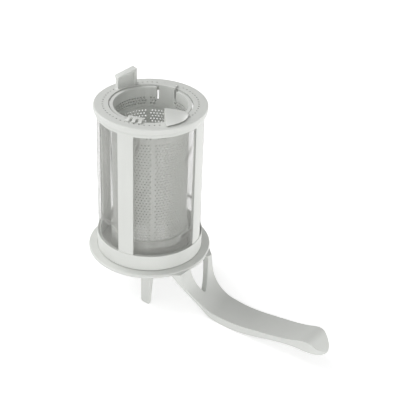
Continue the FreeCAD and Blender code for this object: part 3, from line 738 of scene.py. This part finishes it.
def plain_weave():
    """The cover of a plain weave (1 on a thread, 0 in an opening) and its height."""
    group, tree = new_tree("plain_weave", "GROUP")
    given, out = group_sockets(tree, [("Vector", "Vector"), ("Slack", "Float")],
                               [("Cover", "Float"), ("Height", "Float")])
    split = tree.nodes.new("ShaderNodeSeparateXYZ")
    tree.links.new(given.outputs["Vector"], split.inputs["Vector"])
    waves = [math_node(tree, "SINE", math_node(tree, "MULTIPLY", split.outputs[axis],
                                               math.pi / THREAD_PITCH)) for axis in ("X", "Y")]
    threads = [math_node(tree, "ABSOLUTE", wave) for wave in waves]
    nearest = math_node(tree, "MAXIMUM", *threads)
    edge = math_node(tree, "ADD", given.outputs["Slack"], OPENING_LIMIT)
    past = math_node(tree, "MULTIPLY", math_node(tree, "SUBTRACT", nearest, edge), THREAD_EDGE)
    cover = math_node(tree, "MINIMUM", math_node(tree, "MAXIMUM", past, 0.0), 1.0)
    over = spread(tree, math_node(tree, "MULTIPLY", *waves), UNDER_HEIGHT, OVER_HEIGHT)
    under = math_node(tree, "SUBTRACT", UNDER_HEIGHT + OVER_HEIGHT, over)
    height = math_node(tree, "MAXIMUM", math_node(tree, "MULTIPLY", threads[0], over),
                       math_node(tree, "MULTIPLY", threads[1], under))
    tree.links.new(cover, out.inputs["Cover"])
    tree.links.new(height, out.inputs["Height"])
    return group


PLAIN_WEAVE = plain_weave()
print("threads per millimetre: %.0f" % (MM / THREAD_PITCH))

# %% The woven mesh's material
THREAD_DULL = (0.34, 0.34, 0.32)
THREAD_BRIGHT = (0.47, 0.47, 0.445)
# painted shade: the thread colour in the creases, as dark as the shade inside a fold
THREAD_CREASE_SHADE = (0.16, 0.16, 0.15)
THREAD_CLEAR = 0.35
THREAD_DEPTH = 0.05 * MM
UPRIGHT = (1.0, 0.12, 1.0)
STREAK_WIDENS = 0.02
PINCH_CLOSES = 0.5


def woven_cloth(name, dull, bright, shaded):
    """Fine woven mesh, faint upright streaks, and painted shade and a denser weave in creases."""
    material, tree = new_tree(name)
    place = tree.nodes.new("ShaderNodeUVMap")
    place.uv_map = STRIP_MAP
    weave = tree.nodes.new("ShaderNodeGroup")
    weave.node_tree = PLAIN_WEAVE
    upright = add(tree, "ShaderNodeMapping", Scale=UPRIGHT)
    streak = add(tree, "ShaderNodeTexNoise", Scale=240.0, Detail=3.0)
    pinched = tree.nodes.new("ShaderNodeAttribute")
    pinched.attribute_name = CREASE_MASK
    bump = add(tree, "ShaderNodeBump", Strength=0.3, Distance=THREAD_DEPTH)
    shader = add(tree, "ShaderNodeBsdfPrincipled", Roughness=0.55, IOR=POLYMER_IOR,
                 Transmission_Weight=THREAD_CLEAR)
    out = tree.nodes.new("ShaderNodeOutputMaterial")
    tree.links.new(place.outputs["UV"], weave.inputs["Vector"])
    tree.links.new(place.outputs["UV"], upright.inputs["Vector"])
    tree.links.new(upright.outputs["Vector"], streak.inputs["Vector"])
    uneven = spread(tree, streak.outputs["Fac"], -STREAK_WIDENS, STREAK_WIDENS)
    closed = math_node(tree, "MULTIPLY", pinched.outputs["Fac"], PINCH_CLOSES)
    tree.links.new(math_node(tree, "SUBTRACT", uneven, closed), weave.inputs["Slack"])
    tree.links.new(weave.outputs["Cover"], shader.inputs["Alpha"])
    thread = tinted(tree, streak.outputs["Fac"], dull, bright)
    # painted shade: in the creases the threads take the dark colour of the shade in a fold
    thread = tinted(tree, pinched.outputs["Fac"], thread, shaded)
    tree.links.new(thread, shader.inputs["Base Color"])
    tree.links.new(weave.outputs["Height"], bump.inputs["Height"])
    tree.links.new(bump.outputs["Normal"], shader.inputs["Normal"])
    tree.links.new(shader.outputs["BSDF"], out.inputs["Surface"])
    return material


cloth = woven_cloth("woven_filter_mesh", THREAD_DULL, THREAD_BRIGHT, THREAD_CREASE_SHADE)
filter_mesh.data.materials.append(cloth)
print("cloth:", cloth.name)

# %% [markdown]
# The filter stands in a bright white sweep. The floor is plain matt white paint, which throws
# light up at every wall, so upright faces come out lighter than the tops. Where a ray of the
# camera, a reflection or a refraction meets it, a little light is added, so that it shows white
# while it keeps the shadow. Stronger lamps would whiten it too, but the filter with it.

# %% Floor
FLOOR_LEVEL = CAD_BOX[0][2]
FLOOR_REACH = 6.0
FLOOR_WHITE = 0.8
FLOOR_GLOW = 0.55


def seen_only(tree):
    """1 where the camera, a reflection or a refraction looks, and 0 for light on the object."""
    path = tree.nodes.new("ShaderNodeLightPath")
    either = math_node(tree, "MAXIMUM", path.outputs["Is Glossy Ray"],
                       path.outputs["Is Transmission Ray"])
    return math_node(tree, "MAXIMUM", path.outputs["Is Camera Ray"], either)


corners = FLOOR_REACH * np.array([(-1, -1), (1, -1), (1, 1), (-1, 1)])
floor_points = np.column_stack([corners, np.full(len(corners), FLOOR_LEVEL)])
floor = surface("floor", floor_points, np.array([[0, 1, 2, 3]]))
floor_paint, floor_tree = new_tree("matt_white_floor")
floor_matt = add(floor_tree, "ShaderNodeBsdfPrincipled", Roughness=0.9,
                 Base_Color=(FLOOR_WHITE, FLOOR_WHITE, FLOOR_WHITE, 1.0))
floor_light = add(floor_tree, "ShaderNodeEmission")
floor_both = floor_tree.nodes.new("ShaderNodeAddShader")
floor_out = floor_tree.nodes.new("ShaderNodeOutputMaterial")
floor_tree.links.new(math_node(floor_tree, "MULTIPLY", seen_only(floor_tree), FLOOR_GLOW),
                     floor_light.inputs["Strength"])
floor_tree.links.new(floor_matt.outputs["BSDF"], floor_both.inputs[0])
floor_tree.links.new(floor_light.outputs["Emission"], floor_both.inputs[1])
floor_tree.links.new(floor_both.outputs["Shader"], floor_out.inputs["Surface"])
floor.data.materials.append(floor_paint)
print("floor at %.1f mm" % (FLOOR_LEVEL / MM))

# %% [markdown]
# The light from behind on the left is the strongest. A large soft box stands high behind on the
# left, two lower ones stand at the left and at the front, and two low strips stand at the front
# right and at the right. Their powers were fitted to the tones of the plastic, and the camera
# sees none of them.

# %% Lamps
LAMP_DISTANCE = 1.2
LAMP_AIM = Vector((0.0, 0.0, 0.05))
SOFT_BOX = (0.9, 0.9)
STRIP = (0.85, 0.12)
STRIP_HEIGHT = 0.03
LOW_STRIPS = (
    # name, azimuth, power
    ("front_strip", -50.0, 4.2),
    ("right_strip", 30.0, 6.4),
)


def lamp(name, azimuth, elevation, size, power):
    """A soft rectangular lamp that faces the filter from a direction in degrees."""
    light = bpy.data.lights.new(name, "AREA")
    light.shape = "RECTANGLE"
    light.size, light.size_y = size
    light.energy = power
    made = bpy.data.objects.new(name, light)
    around, up = math.radians(azimuth), math.radians(elevation)
    way = Vector((math.cos(around) * math.cos(up), math.sin(around) * math.cos(up), math.sin(up)))
    made.location = way * LAMP_DISTANCE + LAMP_AIM
    made.rotation_euler = way.to_track_quat("Z", "Y").to_euler()
    made.visible_camera = False
    bpy.context.scene.collection.objects.link(made)
    return made


lamp("left_lamp", azimuth=-150.0, elevation=15.0, size=SOFT_BOX, power=3.5)
lamp("front_left_lamp", azimuth=-100.0, elevation=15.0, size=SOFT_BOX, power=3.3)
lamp("back_left_lamp", azimuth=150.0, elevation=50.0, size=SOFT_BOX, power=8.5)
for strip_name, strip_azimuth, strip_power in LOW_STRIPS:
    strip = lamp(strip_name, azimuth=strip_azimuth, elevation=0.0, size=STRIP, power=strip_power)
    strip.location.z = STRIP_HEIGHT

# %% [markdown]
# The rest of the light is soft and even, as the white walls of a room send it back. The camera
# sees a brighter backdrop in their place, which comes out as plain white.

# %% White room
ROOM_LIGHT = 0.39
BACKDROP_LIGHT = 1.1

world = bpy.data.worlds.new("room")
bpy.context.scene.world = world
world.use_nodes = True
room = world.node_tree
room.nodes.clear()
walls = add(room, "ShaderNodeBackground", Color=(1.0, 1.0, 1.0, 1.0), Strength=ROOM_LIGHT)
backdrop = add(room, "ShaderNodeBackground", Color=(1.0, 1.0, 1.0, 1.0), Strength=BACKDROP_LIGHT)
room_mix = room.nodes.new("ShaderNodeMixShader")
room_rays = room.nodes.new("ShaderNodeLightPath")
room_out = room.nodes.new("ShaderNodeOutputWorld")
room.links.new(room_rays.outputs["Is Camera Ray"], room_mix.inputs["Fac"])
room.links.new(walls.outputs["Background"], room_mix.inputs[1])
room.links.new(backdrop.outputs["Background"], room_mix.inputs[2])
room.links.new(room_mix.outputs["Shader"], room_out.inputs["Surface"])
print("room:", ROOM_LIGHT, "backdrop:", BACKDROP_LIGHT)

# %% [markdown]
# The camera was found by matching the photograph's ring, flange, band and tube rims, each a
# circle of known height on one axis. It looks down by 30.5 degrees from 745 mm. The filter
# stands left of the frame's middle, so the camera is panned and tilted until the point halfway
# up the axis falls on its own pixel, and then rolled by half a degree.

# %% Camera
FRAME_PIXELS = 420.0
FOCAL_PIXELS = 1029.9
SENSOR_WIDTH = 36.0
CAMERA_DISTANCE = 745.35 * MM
CAMERA_ELEVATION = 30.507
CAMERA_ROLL = -0.547
NEAREST_SEEN = 10.0 * MM
AXIS_PIXEL = (149.949, 175.034)
AXIS_POINT = Vector((0.0, 0.0, 57.567 * MM))


def camera_matrix():
    """Place and turn of the camera, from its elevation, the axis point's pixel and its roll."""
    elevation = math.radians(CAMERA_ELEVATION)
    towards = Vector((0.0, -math.cos(elevation), math.sin(elevation)))
    right = Vector((1.0, 0.0, 0.0))
    level = Matrix((right, towards.cross(right), towards)).transposed().to_4x4()
    half = 0.5 * FRAME_PIXELS
    sight = Vector(((AXIS_PIXEL[0] - half) / FOCAL_PIXELS, (half - AXIS_PIXEL[1]) / FOCAL_PIXELS,
                    -1.0))
    aim = sight.normalized().rotation_difference(Vector((0.0, 0.0, -1.0))).to_matrix().to_4x4()
    roll = Matrix.Rotation(math.radians(-CAMERA_ROLL), 4, "Z")
    place = Matrix.Translation(AXIS_POINT + towards * CAMERA_DISTANCE)
    return place @ level @ aim @ roll


lens = bpy.data.cameras.new("camera")
lens.sensor_width = SENSOR_WIDTH
lens.lens = FOCAL_PIXELS / FRAME_PIXELS * SENSOR_WIDTH
lens.clip_start = NEAREST_SEEN
camera = bpy.data.objects.new("camera", lens)
camera.matrix_world = camera_matrix()
bpy.context.scene.collection.objects.link(camera)
bpy.context.scene.camera = camera
bpy.context.scene.view_settings.view_transform = "Standard"
print("camera at", [round(x / MM, 1) for x in camera.location], "mm")
